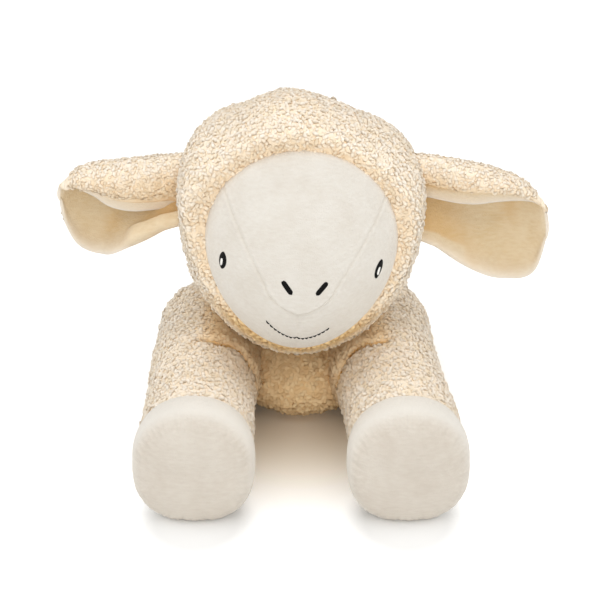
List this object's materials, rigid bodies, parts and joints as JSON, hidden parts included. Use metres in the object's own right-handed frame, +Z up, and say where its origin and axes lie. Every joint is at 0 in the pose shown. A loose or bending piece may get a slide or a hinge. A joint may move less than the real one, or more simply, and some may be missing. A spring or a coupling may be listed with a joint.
{
  "type": "plush lamb",
  "caption": "Plush lamb lying on its belly, with a curly fleece body, a smooth pale face, floppy ears and smooth white hooves.",
  "frame": {"origin": "the flat patch of the belly that the lamb rests on, on its middle line between the front shoulders", "axes": "+Z up, -Y where the lamb looks and its front legs point, +X its left side"},
  "size_m": [0.277, 0.3225, 0.194],
  "materials": {
    "curly_fleece": "curly cream pile",
    "brushed_fleece": "short, smooth off-white pile",
    "ear_lining": "short, smooth tan pile",
    "filling": "white fibre",
    "black_thread": "satin embroidery",
    "white_thread": "satin embroidery"
  },
  "bodies": {
    "torso": {"body_left": "curly_fleece", "body_right": "curly_fleece", "belly": "curly_fleece", "body_stuffing": "filling"},
    "neck": {"neck": "curly_fleece"},
    "head": {"hood_left": "curly_fleece", "hood_right": "curly_fleece", "head_stuffing": "filling", "nose_panel": "brushed_fleece", "cheek_left": "brushed_fleece", "cheek_right": "brushed_fleece", "eye_left": "black_thread", "eye_right": "black_thread", "eye_highlight_left": "white_thread", "eye_highlight_right": "white_thread", "nostril_left": "black_thread", "nostril_right": "black_thread", "mouth": "black_thread"},
    "ear_left": {"ear_back_left": "curly_fleece", "ear_lining_left": "ear_lining"},
    "ear_right": {"ear_back_right": "curly_fleece", "ear_lining_right": "ear_lining"},
    "front_leg_left": {"front_leg_left_sleeve": "curly_fleece", "front_leg_left_hoof_band": "brushed_fleece", "front_leg_left_sole": "brushed_fleece", "front_leg_left_stuffing": "filling"},
    "front_leg_right": {"front_leg_right_sleeve": "curly_fleece", "front_leg_right_hoof_band": "brushed_fleece", "front_leg_right_sole": "brushed_fleece", "front_leg_right_stuffing": "filling"},
    "hind_leg_left": {"hind_leg_left_sleeve": "curly_fleece", "hind_leg_left_hoof_band": "brushed_fleece", "hind_leg_left_sole": "brushed_fleece", "hind_leg_left_stuffing": "filling"},
    "hind_leg_right": {"hind_leg_right_sleeve": "curly_fleece", "hind_leg_right_hoof_band": "brushed_fleece", "hind_leg_right_sole": "brushed_fleece", "hind_leg_right_stuffing": "filling"},
    "tail": {"tail_cover": "curly_fleece", "tail_stuffing": "filling"}
  },
  "joints": [
    {"name": "head_turn", "type": "hinge", "parent": "torso", "child": "neck", "pos_m": [-0.00374, 0.01573, 0.06402], "axis": [0.0514, -0.5736, 0.8175], "range_deg": [-20, 20], "stiffness_Nm_per_rad": 0.5},
    {"name": "head_nod", "type": "hinge", "parent": "neck", "child": "head", "pos_m": [-0.00374, 0.01573, 0.06402], "axis": [0.998, 0, -0.0628], "range_deg": [-15, 2], "stiffness_Nm_per_rad": 0.7, "springref_deg": -3.15},
    {"name": "ear_left_swing", "type": "hinge", "parent": "head", "child": "ear_left", "pos_m": [0.07017, -0.022, 0.13612], "axis": [-0.1869, 0, 0.9824], "range_deg": [-20, 20], "stiffness_Nm_per_rad": 0.01},
    {"name": "ear_right_swing", "type": "hinge", "parent": "head", "child": "ear_right", "pos_m": [-0.06803, -0.022, 0.14481], "axis": [0.3085, 0, 0.9512], "range_deg": [-20, 20], "stiffness_Nm_per_rad": 0.01},
    {"name": "front_leg_left_swing", "type": "hinge", "parent": "torso", "child": "front_leg_left", "pos_m": [0.054, 0.005, 0.03242], "axis": [0, 0, 1], "range_deg": [0, 40], "stiffness_Nm_per_rad": 0.3},
    {"name": "front_leg_right_swing", "type": "hinge", "parent": "torso", "child": "front_leg_right", "pos_m": [-0.054, 0.005, 0.03242], "axis": [0, 0, -1], "range_deg": [0, 40], "stiffness_Nm_per_rad": 0.3},
    {"name": "hind_leg_left_swing", "type": "hinge", "parent": "torso", "child": "hind_leg_left", "pos_m": [0.039, 0.097, 0.02772], "axis": [0, 0, -1], "range_deg": [0, 30], "stiffness_Nm_per_rad": 0.3},
    {"name": "hind_leg_right_swing", "type": "hinge", "parent": "torso", "child": "hind_leg_right", "pos_m": [-0.039, 0.097, 0.02772], "axis": [0, 0, 1], "range_deg": [0, 30], "stiffness_Nm_per_rad": 0.3},
    {"name": "tail_lift", "type": "hinge", "parent": "torso", "child": "tail", "pos_m": [0, 0.1185, 0.073], "axis": [1, 0, 0], "range_deg": [-10, 60], "stiffness_Nm_per_rad": 0.005}
  ]
}
